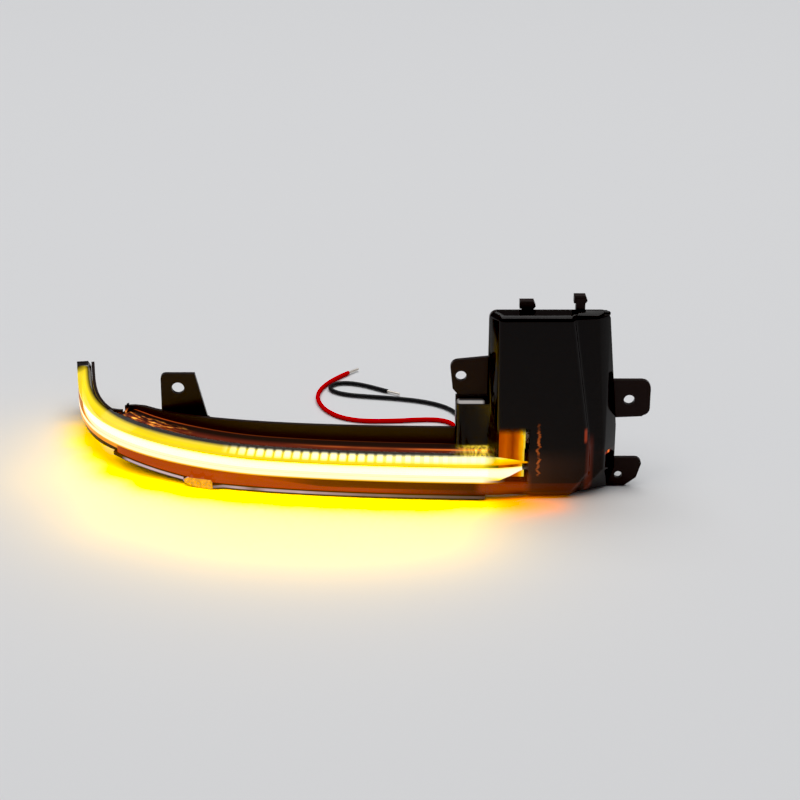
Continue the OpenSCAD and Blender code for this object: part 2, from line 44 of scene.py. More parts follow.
# Camera at the photograph's angle
shot = {"elevation": 25, "distance": 900, "target": (4.45, -34.18, 30), "lens": 103.85,
        "shiftX": 0.04625, "shiftY": 0.025}


def makeCamera():
    turn = math.radians(shot["elevation"])
    data = bpy.data.cameras.new("camera")
    data.lens, data.sensor_width = shot["lens"], 36
    data.shift_x, data.shift_y = shot["shiftX"], shot["shiftY"]
    data.clip_start, data.clip_end = 0.01, 30
    cam = bpy.data.objects.new("camera", data)
    back = Vector((0, -math.cos(turn), math.sin(turn))) * shot["distance"]
    cam.location = (Vector(shot["target"]) + back) * mm
    cam.rotation_euler = (math.radians(90 - shot["elevation"]), 0, 0)
    scene.collection.objects.link(cam)
    scene.camera = cam


makeCamera()
print("camera in place")

# The rail is the lit crease seen from above, with the part's own numbers, in millimetres
rail = {"start": (71.45, -44.68), "nearRun": (-186.5, 2.6), "reach": (-187.8, 88.5), "farRun": (7.2, -52.8),
        "creaseZ": 15, "tipRise": 4.5, "riseStart": 105, "riseEnd": 200, "narrowRun": 66, "samples": 900}


def ease(a, b, v):
    t = np.clip((v - a) / (b - a), 0, 1)
    return t * t * (3 - 2 * t)


def railTable():
    p0 = np.array(rail["start"])
    p1, p3 = p0 + rail["nearRun"], p0 + rail["reach"]
    p2 = p3 + rail["farRun"]
    t = np.linspace(0, 1, rail["samples"])[:, None]
    pts = (1 - t) ** 3 * p0 + 3 * (1 - t) ** 2 * t * p1 + 3 * (1 - t) * t * t * p2 + t ** 3 * p3
    along = np.concatenate([[0], np.cumsum(np.linalg.norm(np.diff(pts, axis=0), axis=1))])
    way = np.gradient(pts, axis=0)
    way /= np.linalg.norm(way, axis=1)[:, None]
    return pts, along, way


railPts, railAlong, railWay = railTable()
railOut = np.stack([-railWay[:, 1], railWay[:, 0]], axis=1)
stepAt = railAlong[-1] - rail["narrowRun"]


def creaseAt(along):
    return rail["creaseZ"] + rail["tipRise"] * ease(rail["riseStart"], rail["riseEnd"], along)


# Two UV maps in millimetres: "rail" runs along the rail and above the crease, "depth" outward from it
def railMap(mesh):
    co = np.array([v.co for v in mesh.vertices]) / mm
    near = ((co[:, None, :2] - railPts[None]) ** 2).sum(2).argmin(1)
    off = co[:, :2] - railPts[near]
    along = railAlong[near] + (off * railWay[near]).sum(1)
    out = (off * railOut[near]).sum(1)
    high = co[:, 2] - creaseAt(along)
    for name, u, v in (("rail", along, high), ("depth", out, co[:, 2])):
        layer = mesh.uv_layers.new(name=name)
        for loop in mesh.loops:
            layer.data[loop.index].uv = (u[loop.vertex_index], v[loop.vertex_index])


# Node helpers shared by the materials
def newMaterial(name):
    mat = bpy.data.materials.new(name)
    mat.use_nodes = True
    tree = mat.node_tree
    return mat, tree, tree.nodes["Principled BSDF"]


def addNode(tree, kind, **values):
    node = tree.nodes.new(kind)
    for key, value in values.items():
        if key in node.inputs:
            node.inputs[key].default_value = value
        else:
            setattr(node, key, value)
    return node


# Colour ramp of source, with stops as (place, colour) or (place, grey)
def ramp(tree, source, stops):
    node = tree.nodes.new("ShaderNodeValToRGB")
    band = node.color_ramp
    while len(band.elements) < len(stops):
        band.elements.new(1)
    for element, (place, colour) in zip(band.elements, stops):
        element.position = place
        element.color = (*colour, 1) if isinstance(colour, tuple) else (colour, colour, colour, 1)
    tree.links.new(source, node.inputs[0])
    return node.outputs[0]


def mapRange(tree, source, low, high, toLow=0.0, toHigh=1.0, smooth=False):
    node = addNode(tree, "ShaderNodeMapRange", clamp=True)
    if smooth:
        node.interpolation_type = "SMOOTHSTEP"
    node.inputs["From Min"].default_value = low
    node.inputs["From Max"].default_value = high
    node.inputs["To Min"].default_value = toLow
    node.inputs["To Max"].default_value = toHigh
    tree.links.new(source, node.inputs["Value"])
    return node.outputs[0]


def maths(tree, operation, a, b=None):
    node = addNode(tree, "ShaderNodeMath", operation=operation)
    for i, value in enumerate((a, b)):
        if value is None:
            continue
        if isinstance(value, (int, float)):
            node.inputs[i].default_value = value
        else:
            tree.links.new(value, node.inputs[i])
    return node.outputs[0]


def product(tree, *values):
    made = values[0]
    for value in values[1:]:
        made = maths(tree, "MULTIPLY", made, value)
    return made


def highest(tree, *values):
    made = values[0]
    for value in values[1:]:
        made = maths(tree, "MAXIMUM", made, value)
    return made


# One inside [low, high] of source, fading out over soft on either side
def within(tree, source, low, high, soft):
    rise = mapRange(tree, source, low - soft, low, smooth=True)
    fall = mapRange(tree, source, high, high + soft, 1, 0, smooth=True)
    return maths(tree, "MULTIPLY", rise, fall)


# Sum of coloured masks, as one colour
def layered(tree, parts):
    total = None
    for mask, colour in parts:
        scaled = addNode(tree, "ShaderNodeVectorMath", operation="SCALE")
        scaled.inputs[0].default_value = colour
        tree.links.new(mask, scaled.inputs["Scale"])
        if total is None:
            total = scaled.outputs[0]
            continue
        added = addNode(tree, "ShaderNodeVectorMath", operation="ADD")
        tree.links.new(total, added.inputs[0])
        tree.links.new(scaled.outputs[0], added.inputs[1])
        total = added.outputs[0]
    return total


def uvParts(tree, name):
    uv = addNode(tree, "ShaderNodeUVMap", uv_map=name)
    parts = addNode(tree, "ShaderNodeSeparateXYZ")
    tree.links.new(uv.outputs[0], parts.inputs[0])
    return parts.outputs[0], parts.outputs[1]


# The piece's own x, y and z in millimetres
def objectParts(tree):
    place = addNode(tree, "ShaderNodeTexCoord")
    scaled = addNode(tree, "ShaderNodeVectorMath", operation="SCALE")
    scaled.inputs["Scale"].default_value = 1 / mm
    parts = addNode(tree, "ShaderNodeSeparateXYZ")
    tree.links.new(place.outputs["Object"], scaled.inputs[0])
    tree.links.new(scaled.outputs[0], parts.inputs[0])
    return parts.outputs[0], parts.outputs[1], parts.outputs[2]


# Noise stretched by its own scale along each of two coordinates
def streaks(tree, a, b, scaleA, scaleB, detail=3):
    join = addNode(tree, "ShaderNodeCombineXYZ")
    tree.links.new(maths(tree, "MULTIPLY", a, scaleA), join.inputs[0])
    tree.links.new(maths(tree, "MULTIPLY", b, scaleB), join.inputs[1])
    noise = addNode(tree, "ShaderNodeTexNoise", Scale=1, Detail=detail)
    tree.links.new(join.outputs[0], noise.inputs["Vector"])
    return noise.outputs[0]


def grainBump(tree, shader, scale, strength, detail=3):
    place = addNode(tree, "ShaderNodeTexCoord")
    noise = addNode(tree, "ShaderNodeTexNoise", Scale=scale, Detail=detail)
    bump = addNode(tree, "ShaderNodeBump", Strength=strength, Distance=0.0002)
    tree.links.new(place.outputs["Object"], noise.inputs["Vector"])
    tree.links.new(noise.outputs[0], bump.inputs["Height"])
    tree.links.new(bump.outputs[0], shader.inputs["Normal"])
    return noise.outputs[0]


# Solid finish with a fine grain, and roughness that wanders a little
def plainMaterial(name, colour, roughness, metallic=0.0, specular=0.5, grain=900, bump=0.06, spread=0.06):
    mat, tree, shader = newMaterial(name)
    shader.inputs["Base Color"].default_value = (*colour, 1)
    shader.inputs["Metallic"].default_value = metallic
    shader.inputs["Specular IOR Level"].default_value = specular
    noise = grainBump(tree, shader, grain, bump)
    rough = mapRange(tree, noise, 0.3, 0.7, roughness - spread, roughness + spread)
    tree.links.new(rough, shader.inputs["Roughness"])
    return mat


carrierBlack = plainMaterial("carrierBlack", (0.012, 0.008, 0.006), 0.3, specular=0.5, grain=1500)
boardGreen = plainMaterial("boardGreen", (0.015, 0.09, 0.04), 0.4, grain=1800)
chipBlack = plainMaterial("chipBlack", (0.012, 0.012, 0.013), 0.5, grain=3000)
canMetal = plainMaterial("canMetal", (0.6, 0.6, 0.62), 0.28, metallic=1, grain=1200, bump=0.03)
tinned = plainMaterial("tinnedCopper", (0.72, 0.68, 0.62), 0.32, metallic=1, grain=2500, bump=0.1)
softBlack = plainMaterial("grommetRubber", (0.012, 0.012, 0.012), 0.6, specular=0.3, grain=2400, bump=0.15)
redJacket = plainMaterial("redLeadJacket", (0.60, 0.006, 0.026), 0.36, grain=1500, bump=0.08)
blackJacket = plainMaterial("blackLeadJacket", (0.006, 0.006, 0.007), 0.45, specular=0.2, grain=1500, bump=0.08)

# Housing: black moulded plastic; the floor's rim under the strip carries a painted highlight (emission) that stands in
# for its reflection of the table's light
housingLook = {"colour": (0.013, 0.0075, 0.0065), "roughness": 0.36, "specular": 0.16, "grain": 2600, "bump": 0.10,
               "rimSheenColour": (0.56, 0.47, 0.53), "rimLow": 1.1, "rimHigh": 1.9, "rimSoft": 0.3, "hingeAt": 128, "hingeRise": 7}


def housingMaterial():
    mat, tree, shader = newMaterial("mouldedBlackPlastic")
    look = housingLook
    shader.inputs["Base Color"].default_value = (*look["colour"], 1)
    shader.inputs["Specular IOR Level"].default_value = look["specular"]
    noise = grainBump(tree, shader, look["grain"], look["bump"])
    tree.links.new(mapRange(tree, noise, 0.3, 0.7, look["roughness"] - 0.06, look["roughness"] + 0.06),
                   shader.inputs["Roughness"])
    x, y, z = objectParts(tree)
    # the floor rises past its hinge line, and its rim with it
    i = int(np.searchsorted(railAlong, look["hingeAt"]))
    (hx, hy), (wx, wy) = railPts[i], railWay[i]
    past = maths(tree, "ADD", maths(tree, "MULTIPLY", x, float(wx)), maths(tree, "MULTIPLY", y, float(wy)))
    past = maths(tree, "MAXIMUM", maths(tree, "SUBTRACT", past, float(hx * wx + hy * wy)), 0)
    level = maths(tree, "SUBTRACT", z, maths(tree, "MULTIPLY", past, math.tan(math.radians(look["hingeRise"]))))
    rim = within(tree, level, look["rimLow"], look["rimHigh"], look["rimSoft"])
    shape = addNode(tree, "ShaderNodeNewGeometry")
    facing = addNode(tree, "ShaderNodeSeparateXYZ")
    tree.links.new(shape.outputs["True Normal"], facing.inputs[0])
    front = mapRange(tree, facing.outputs[1], -0.3, -0.6)
    # the painted rim highlight is brightest under the swept end, broken near the moulded foot, dull toward the tail
    run = ramp(tree, mapRange(tree, x, -92, 70), [(0, 0.0), (0.015, 0.9), (0.19, 1.0), (0.215, 0.15), (0.29, 0.9), (0.33, 0.25),
                                                  (0.36, 0.8), (0.45, 0.75), (0.60, 0.30), (0.85, 0.12), (1, 0.0)])
    glint = maths(tree, "MULTIPLY", streaks(tree, x, z, 0.12, 0.0), 0.6)
    power = product(tree, rim, front, run, maths(tree, "ADD", glint, 0.65))
    # painted highlight: the rim band emits its sheen colour
    shader.inputs["Emission Color"].default_value = (*look["rimSheenColour"], 1)
    tree.links.new(power, shader.inputs["Emission Strength"])
    return mat


blackPlastic = housingMaterial()

# Smoked lens: clear over the two bands, dark on top and on the tail, with the light it carries inside painted on as
# glow (emission)
lensLook = {"gloss": (0.004, 0.0025, 0.002), "tint": (1.0, 0.98, 0.96), "roughness": 0.10, "specular": 0.20,
            "bandFill": 0.10, "topFill": 0.93, "footFill": 0.90, "tailFill": 0.985, "windowFill": 0.20,
            "windowRight": 68.6, "windowTop": 31.0, "tailLeft": 53.4,
            "skirt": (0.41, 0.129, 0.100), "nearBand": (0.15, 0.049, 0.041), "fieryLine": (0.80, 0.31, 0.20),
            "fieryCore": (1.4, 0.95, 0.40), "rearLine": (0.40, 0.138, 0.100), "nub": (1.0, 0.56, 0.26), "nubAt": 132.5, "nubHalf": 5.85,
            "narrowFoot": (0.95, 0.45, 0.23), "corner": (0.035, 0.0173, 0.0125), "spot": (0.25, 0.081, 0.065),
            "hotEnd": (1.15, 0.88, 0.31), "lowWedge": (0.20, 0.069, 0.050),
            "crease": (1.1, 0.88, 0.27), "lowRim": (1.1, 1.08, 0.79), "lowEdge": (1.0, 0.615, 0.24),
            "blockShine": (0.42, 0.40, 0.39)}


# How far the surface is opaque: by height over the crease on the strip, by place on the tail
def lensFill(tree, along, high, x, y, z):
    look = lensLook
    foot = mapRange(tree, high, -5.6, -6.4, 0, look["footFill"])
    crease = product(tree, within(tree, high, -0.75, 2.35, 0.3), 0.85)
    top = mapRange(tree, high, 2.30, 2.62, 0, look["topFill"])
    tip = mapRange(tree, along, 231.2, 232.2, 0, 0.96)
    left = mapRange(tree, x, 60, 51)
    strip = highest(tree, product(tree, foot, left), top, tip, product(tree, crease, left), look["bandFill"])
    right = mapRange(tree, x, look["windowRight"] - 0.6, look["windowRight"] + 0.6, 0, look["tailFill"])
    above = mapRange(tree, z, look["windowTop"] - 5, look["windowTop"], 0, look["tailFill"], smooth=True)
    inside = mapRange(tree, x, look["tailLeft"] - 0.5, look["tailLeft"] + 0.5)
    tail = highest(tree, right, above, look["windowFill"])
    blend = addNode(tree, "ShaderNodeMix", data_type="FLOAT")
    tree.links.new(inside, blend.inputs[0])
    tree.links.new(strip, blend.inputs[2])
    low = mapRange(tree, high, -8.0, -8.6, 0, look["footFill"])
    tree.links.new(highest(tree, tail, low, product(tree, highest(tree, foot, crease), left)), blend.inputs[3])
    # the dark hook where the two bands end
    hook = product(tree, within(tree, x, 66.6, 69.0, 0.3), within(tree, z, 13.0, 14.6, 0.4),
                   mapRange(tree, y, -38, -39))
    return maths(tree, "MAXIMUM", blend.outputs[0], maths(tree, "MULTIPLY", hook, 0.95))


# Painted glow (emission) for the light carried in the foot under the lower band: burnt orange, dark above its lit edge
# toward the tail
def skirtPower(tree, along, high, depth):
    upper = ramp(tree, mapRange(tree, along, 0, 240), [(0.02, 0.08), (0.17, 0.16), (0.30, 0.20), (0.36, 0.28),
                                                       (0.42, 0.75), (0.48, 1.0), (1, 1.0)])
    lower = ramp(tree, mapRange(tree, along, 0, 240), [(0.03, 0.06), (0.10, 0.18), (0.17, 0.45), (0.26, 0.9),
                                                       (0.45, 1.0), (1, 1.0)])
    edge = mapRange(tree, along, 84, 110, -11.0, -8.8)
    below = mapRange(tree, maths(tree, "SUBTRACT", high, edge), 0.35, -0.15, smooth=True)
    blend = addNode(tree, "ShaderNodeMix", data_type="FLOAT")
    tree.links.new(below, blend.inputs[0])
    tree.links.new(upper, blend.inputs[2])
    tree.links.new(lower, blend.inputs[3])
    onFoot = product(tree, mapRange(tree, high, -8.0, -8.3), mapRange(tree, along, stepAt + 1, stepAt))
    wander = maths(tree, "ADD", maths(tree, "MULTIPLY", streaks(tree, along, high, 0.05, 0.6), 0.5), 0.75)
    return product(tree, blend.outputs[0], onFoot, wander, mapRange(tree, depth, -5, -3))


# Painted glow (emission) on the parts of the strip's top that pick up the bands' light, as (mask, colour)
def topLight(tree, along, high, depth):
    look = lensLook
    onTop = product(tree, within(tree, high, 2.4, 3.4, 0.15), mapRange(tree, depth, -5.6, -6.2))
    left = mapRange(tree, along, stepAt - 34, stepAt - 10, smooth=True)
    patchy = streaks(tree, along, depth, 0.22, 0.9, detail=5)
    flames = product(tree, onTop, left, within(tree, depth, -9.6, -6.0, 1.6), ramp(tree, patchy, [(0.46, 0.0), (0.60, 1.0)]))
    core = product(tree, flames, ramp(tree, patchy, [(0.56, 0.0), (0.68, 1.0)]))
    near = product(tree, onTop, mapRange(tree, depth, -10.5, -6.4, smooth=True))
    lineRun = ramp(tree, mapRange(tree, along, 10, 100), [(0, 1.3), (0.25, 1.0), (0.45, 0.5), (0.8, 0.35), (1, 0.0)])
    line = product(tree, onTop, within(tree, depth, -8.6, -7.9, 0.5), lineRun,
                   ramp(tree, streaks(tree, along, depth, 0.08, 0.8), [(0.35, 0.3), (0.6, 1.0)]))
    rearRun = ramp(tree, mapRange(tree, along, 20, stepAt), [(0, 0.05), (0.5, 0.16), (0.75, 0.4), (0.9, 1.0), (1, 1.0)])
    rear = product(tree, onTop, within(tree, depth, -14, -12.75, 0.3), rearRun)
    finEdge = product(tree, mapRange(tree, high, 2.9, 3.3), within(tree, along, stepAt - 0.7, stepAt + 1, 0.3), 0.9)
    return [(near, look["nearBand"]), (onTop, (0.012, 0.008, 0.0085)), (flames, look["fieryLine"]), (core, look["fieryCore"]), (line, look["fieryLine"]),
            (highest(tree, rear, finEdge), look["rearLine"])]


# Painted glow (emission) seen through the tail's low left part, as (mask, colour)
def tailLight(tree, x, y, z):
    look = lensLook
    front = mapRange(tree, y, -37.5, -39)
    fromWindow = ramp(tree, mapRange(tree, x, look["windowRight"], 96), [(0, 1.0), (0.35, 0.42), (1, 0.05)])
    low = product(tree, front, fromWindow, within(tree, z, 3, 14, 9), mapRange(tree, x, 66, 69))
    shake = maths(tree, "MULTIPLY", maths(tree, "SUBTRACT", streaks(tree, z, z, 0.5, 0.0, detail=5), 0.5), 5.0)
    offLine = maths(tree, "ABSOLUTE", maths(tree, "SUBTRACT", maths(tree, "SUBTRACT", x, 72.6), shake))
    broken = ramp(tree, streaks(tree, z, x, 0.35, 0.0), [(0.40, 0.15), (0.55, 1.0)])
    thread = product(tree, front, mapRange(tree, offLine, 0.65, 0.25), within(tree, z, 12, 30, 2.5), broken, 0.42)
    spotX = mapRange(tree, maths(tree, "ABSOLUTE", maths(tree, "SUBTRACT", x, 90.8)), 0.9, 0.1, smooth=True)
    spot = product(tree, front, spotX, within(tree, z, 25.5, 28.5, 2.0))
    haze = product(tree, front, within(tree, x, 92.0, 93.2, 1.6), within(tree, z, 5, 22, 6), 0.16)
    wedge = product(tree, within(tree, x, 52, 66, 5), within(tree, z, 4.5, 9.5, 2.5), mapRange(tree, y, -40, -41.5))
    return [(low, look["corner"]), (thread, look["fieryLine"]), (highest(tree, spot, haze), look["spot"]),
            (wedge, look["lowWedge"])]


# Single lamps of the upper band, painted on the lens as glowing dots that run together toward the tail
ledDots = {"pitch": 3.66, "first": 24, "middle": 1.35, "half": 1.35, "full": 112, "gone": 124, "gain": 1.0,
           "merged": 0.85, "colour": (1.3, 1.26, 0.95)}


def dotMask(tree, along, high, dots):
    shifted = maths(tree, "ADD", along, dots["pitch"] * 20.5 - dots["first"])
    beat = maths(tree, "SUBTRACT", maths(tree, "MODULO", shifted, dots["pitch"]), dots["pitch"] / 2)
    spot = mapRange(tree, maths(tree, "ABSOLUTE", beat), 1.75, 0.7, smooth=True)
    # the dots run together toward the tail
    merged = mapRange(tree, along, 70, 30, 0, dots["merged"])
    row = mapRange(tree, maths(tree, "ABSOLUTE", maths(tree, "SUBTRACT", high, dots["middle"])), dots["half"],
                   dots["half"] * 0.35, smooth=True)
    seen = mapRange(tree, along, dots["gone"], dots["full"], 0, dots["gain"])
    return product(tree, highest(tree, spot, merged), row, seen)


def smokedLens():
    mat, tree, shader = newMaterial("smokedLens")
    look = lensLook
    shader.inputs["Base Color"].default_value = (*look["gloss"], 1)
    shader.inputs["Roughness"].default_value = look["roughness"]
    shader.inputs["Specular IOR Level"].default_value = look["specular"]
    grainBump(tree, shader, 260, 0.03)
    along, high = uvParts(tree, "rail")
    depth = uvParts(tree, "depth")[0]
    x, y, z = objectParts(tree)
    dots = product(tree, dotMask(tree, along, high, ledDots), mapRange(tree, depth, -5.0, -3.5), mapRange(tree, x, 56, 52))
    fill = highest(tree, lensFill(tree, along, high, x, y, z), maths(tree, "MULTIPLY", dots, 0.8))
    nub = product(tree, within(tree, along, look["nubAt"] - look["nubHalf"], look["nubAt"] + look["nubHalf"], 0.3), mapRange(tree, depth, 0.3, 0.6),
                  ramp(tree, streaks(tree, along, high, 0.9, 0.9, detail=4), [(0.35, 0.55), (0.65, 1.3)]))
    narrowFoot = product(tree, mapRange(tree, along, stepAt, stepAt + 1), mapRange(tree, high, -8.0, -8.4),
                         mapRange(tree, along, 236, 200, 0.35, 1.0))
    hot = product(tree, mapRange(tree, x, 38, 50, smooth=True), mapRange(tree, x, 56, 53), within(tree, high, 2.0, 4.0, 1.0),
                  mapRange(tree, depth, -12, -8),
                  ramp(tree, streaks(tree, x, high, 0.8, 0.9, detail=4), [(0.38, 0.2), (0.6, 1.0)]))
    notNub = maths(tree, "SUBTRACT", 1.0, mapRange(tree, nub, 0, 0.2))
    onStrip = product(tree, mapRange(tree, x, 60, 51), mapRange(tree, along, 231, 226), mapRange(tree, depth, -4.5, -3.0))
    lowRim = product(tree, onStrip, within(tree, high, -7.3, -6.2, 0.5))
    lowEdge = product(tree, onStrip, within(tree, high, -8.0, -7.6, 0.25))
    crease = product(tree, onStrip, within(tree, high, -0.75, 2.35, 0.3),
                     maths(tree, "ADD", maths(tree, "MULTIPLY", streaks(tree, along, high, 0.05, 0.9), 0.4), 0.8))
    # painted highlight (emission) along the block's top edge, standing in for a reflection of the overhead light
    shine = product(tree, within(tree, x, 42, 50.5, 1.5), within(tree, z, 37.5, 38.1, 0.35), mapRange(tree, y, -18, -19))
    # painted glow and highlights, all emitted by the lens surface itself
    parts = [(product(tree, skirtPower(tree, along, high, depth), notNub), look["skirt"]), (nub, look["nub"]),
             (narrowFoot, look["narrowFoot"]), (hot, look["hotEnd"]), (lowRim, look["lowRim"]),
             (lowEdge, look["lowEdge"]), (crease, look["crease"]), (shine, look["blockShine"]),
             (dots, ledDots["colour"])]
    parts += topLight(tree, along, high, depth) + tailLight(tree, x, y, z)
    tree.links.new(layered(tree, parts), shader.inputs["Emission Color"])
    shader.inputs["Emission Strength"].default_value = 1
    clear = addNode(tree, "ShaderNodeBsdfTransparent", Color=(*look["tint"], 1))
    mix = addNode(tree, "ShaderNodeMixShader")
    tree.links.new(fill, mix.inputs[0])
    tree.links.new(clear.outputs[0], mix.inputs[1])
    tree.links.new(shader.outputs[0], mix.inputs[2])
    tree.links.new(mix.outputs[0], tree.nodes["Material Output"].inputs[0])
    return mat


# The two lit bands: a white core, yellow round it and orange at its rims
bandStops = [(0.0, (0.42, 0.143, 0.097)), (0.10, (0.85, 0.38, 0.20)), (0.22, (1.0, 0.615, 0.23)), (0.34, (1.0, 0.86, 0.25)),
             (0.50, (1.0, 0.96, 0.42)), (0.72, (1.0, 0.99, 0.84)), (1.0, (1.0, 1.0, 0.95))]
lowerLook = {"middle": -4.5, "half": 4.0, "reach": 1.25, "power": 1.5, "streak": 0.16, "fadeFrom": 232, "fadeTo": 206,
             "fade": 0.30}
upperLook = {"middle": 1.15, "half": 2.6, "reach": 0.68, "power": 1.4, "streak": 0.24, "fadeFrom": 232, "fadeTo": 222,
             "fade": 0.6}
def glowMaterial(name, look):
    mat, tree, shader = newMaterial(name)
    shader.inputs["Base Color"].default_value = (0.9, 0.6, 0.2, 1)
    shader.inputs["Roughness"].default_value = 0.4
    along, high = uvParts(tree, "rail")
    off = maths(tree, "ABSOLUTE", maths(tree, "SUBTRACT", high, look["middle"]))
    near = mapRange(tree, off, look["half"], 0, 0, look["reach"])
    wander = maths(tree, "MULTIPLY", maths(tree, "SUBTRACT", streaks(tree, along, high, 0.035, 2.2), 0.5), look["streak"])
    near = maths(tree, "ADD", near, wander)
    near = maths(tree, "MULTIPLY", near, mapRange(tree, along, look["fadeFrom"], look["fadeTo"], look["fade"], 1.0))
    tree.links.new(ramp(tree, near, bandStops), shader.inputs["Emission Color"])
    shader.inputs["Emission Strength"].default_value = look["power"]
    return mat


# Finer form than the solids: the skirt's foot rises toward its end, the tip is flat on top, and the
# moulded foot under the strip stands further out
formLook = {"hingeAt": 128, "rise": 7, "footTop": 2.7, "tipFrom": 231.5, "tipTop": 20.9, "nubAt": 132.5,
            "nubHalf": 4.5, "nubOut": 1.6, "nubSpread": 1.3, "nubTop": 3.6, "narrowDepth": 0.78, "wallDrop": 2.2}


def fineForm(shape):
    look = formLook
    i = int(np.searchsorted(railAlong, look["hingeAt"]))
    for vert in shape.verts:
        at = np.array(vert.co) / mm
        k = int(((railPts - at[:2]) ** 2).sum(1).argmin())
        out = float((at[:2] - railPts[k]) @ railOut[k])
        along = railAlong[k]
        if along > look["hingeAt"] and at[2] < look["footTop"] and out > -16:
            at[2] += max(0.0, float((at[:2] - railPts[i]) @ railWay[i])) * math.tan(math.radians(look["rise"]))
        if along > look["tipFrom"] and at[2] > rail["creaseZ"] + rail["tipRise"] - 1 and out > -7.7:
            at[2] = look["tipTop"]
        if abs(along - look["nubAt"]) < look["nubHalf"] + 0.3 and out > 0.25 and at[2] < look["nubTop"]:
            at[:2] += railOut[k] * look["nubOut"] + railWay[k] * (along - look["nubAt"]) * (look["nubSpread"] - 1)
        if along > stepAt + 1:
            part = min(1.0, (along - stepAt - 1) / 12)
            at[:2] += railOut[k] * out * (look["narrowDepth"] - 1) * part
            if out < -7.4 and at[2] > creaseAt(along) + 1:
                at[2] -= look["wallDrop"] * part
        vert.co = Vector(at) * mm


# Copy of a CAD bar, merged, with the rail map that its glow follows
def glowCopy(node, name, mat):
    mesh = nodes[node].data.copy()
    mesh.name = name
    shape = bmesh.new()
    shape.from_mesh(mesh)
    bmesh.ops.remove_doubles(shape, verts=shape.verts, dist=0.002 * mm)
    fineForm(shape)
    long = [e for e in shape.edges if e.calc_length() > 1.2 * mm]
    bmesh.ops.subdivide_edges(shape, edges=long, cuts=3, use_grid_fill=True)
    bmesh.ops.recalc_face_normals(shape, faces=shape.faces)
    shape.to_mesh(mesh)
    shape.free()
    mesh.materials.clear()
    mesh.materials.append(mat)
    piece = bpy.data.objects.new(name, mesh)
    scene.collection.objects.link(piece)
    railMap(mesh)
    heights = [d.uv[1] for d in mesh.uv_layers["rail"].data]
    print(name, "from", round(min(heights), 2), "to", round(max(heights), 2), "mm over the crease")
    piece.visible_diffuse = False
    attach(piece, "root")
    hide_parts(node)
    return piece


glowCopy("lower_light_bar", "lowerGlowBar", glowMaterial("lowerBandGlow", lowerLook))
glowCopy("upper_light_guide", "upperGlowGuide", glowMaterial("upperBandGlow", upperLook))
print("lit bands made")

# Lens and housing shells: the CAD pieces merged, smooth along their curved runs and sharp at their edges
shellLook = {"sharp": 24, "weight": 50, "bevel": 0, "slot": "smoked_lens"}
caseLook = {"sharp": 30, "weight": 50, "bevel": 0.25, "bevelAngle": 40, "slot": "black_housing"}
carrierLook = {"sharp": 30, "weight": 50, "bevel": 0, "slot": "carrier_plastic"}


def smoothCopy(node, name, mat, look):
    mesh = nodes[node].data.copy()
    mesh.name = name
    shape = bmesh.new()
    shape.from_mesh(mesh)
    bmesh.ops.remove_doubles(shape, verts=shape.verts, dist=0.002 * mm)
    bmesh.ops.dissolve_degenerate(shape, dist=0.002 * mm, edges=shape.edges)
    fineForm(shape)
    shape.to_mesh(mesh)
    shape.free()
    mesh.materials.clear()
    mesh.materials.append(mat)
    for face in mesh.polygons:
        face.use_smooth = True
    mesh.set_sharp_from_angle(angle=math.radians(look["sharp"]))
    piece = bpy.data.objects.new(name, mesh)
    scene.collection.objects.link(piece)
    if look["bevel"]:
        easeEdges(piece, look["bevel"], look["bevelAngle"])
    weighted = piece.modifiers.new("weighted", "WEIGHTED_NORMAL")
    weighted.keep_sharp, weighted.weight = True, look["weight"]
    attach(piece, "root")
    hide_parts(node)
    return piece


def easeEdges(piece, width, angle):
    bevel = piece.modifiers.new("bevel", "BEVEL")
    bevel.width, bevel.segments = width * mm, 2
    bevel.limit_method, bevel.angle_limit = "ANGLE", math.radians(angle)


lensShell = smoothCopy("lens", "lensShell", smokedLens(), shellLook)
railMap(lensShell.data)
smoothCopy("housing", "housingShell", blackPlastic, caseLook)
smoothCopy("light_carrier", "carrierShell", carrierBlack, carrierLook)
print("lens and housing shells made")

# Plain CAD nodes get their finishes
finishes = {
    "lower_led_board": boardGreen,
    "upper_led_board": boardGreen, "driver_board": boardGreen, "controller_chip": chipBlack,
    "regulator": chipBlack, "diodes": chipBlack, "resistors": chipBlack, "capacitors": canMetal, "coil": chipBlack,
    "board_screws": canMetal, "jumper_ribbon": canMetal, "wire_grommet": softBlack,
    "red_lead_tip": tinned, "black_lead_tip": tinned,
}


# LED packages: warm light that differs a little from one to the next
def ledMaterial():
    mat, tree, shader = newMaterial("ledGlow")
    shader.inputs["Base Color"].default_value = (0.9, 0.7, 0.4, 1)
    place = addNode(tree, "ShaderNodeTexCoord")
    noise = addNode(tree, "ShaderNodeTexNoise", Scale=420, Detail=2)
    tree.links.new(place.outputs["Object"], noise.inputs["Vector"])
    tree.links.new(ramp(tree, noise.outputs[0], [(0.35, (1.0, 0.50, 0.06)), (0.65, (1.0, 0.78, 0.30))]),
                   shader.inputs["Emission Color"])
    shader.inputs["Emission Strength"].default_value = 2.5
    return mat


# End plate: painted glow (emission), dull orange on its left, bright yellow along its right edge and its fin
plateLook = {"left": 57.8, "right": 67.9, "top": 28.0, "power": 1.3,
             "stops": [(0.0, (0.36, 0.130, 0.090)), (0.28, (0.56, 0.225, 0.136)), (0.52, (0.22, 0.082, 0.054)),
                       (0.74, (0.60, 0.246, 0.146)), (0.88, (1.0, 0.615, 0.254)), (1.0, (1.0, 0.91, 0.33))]}


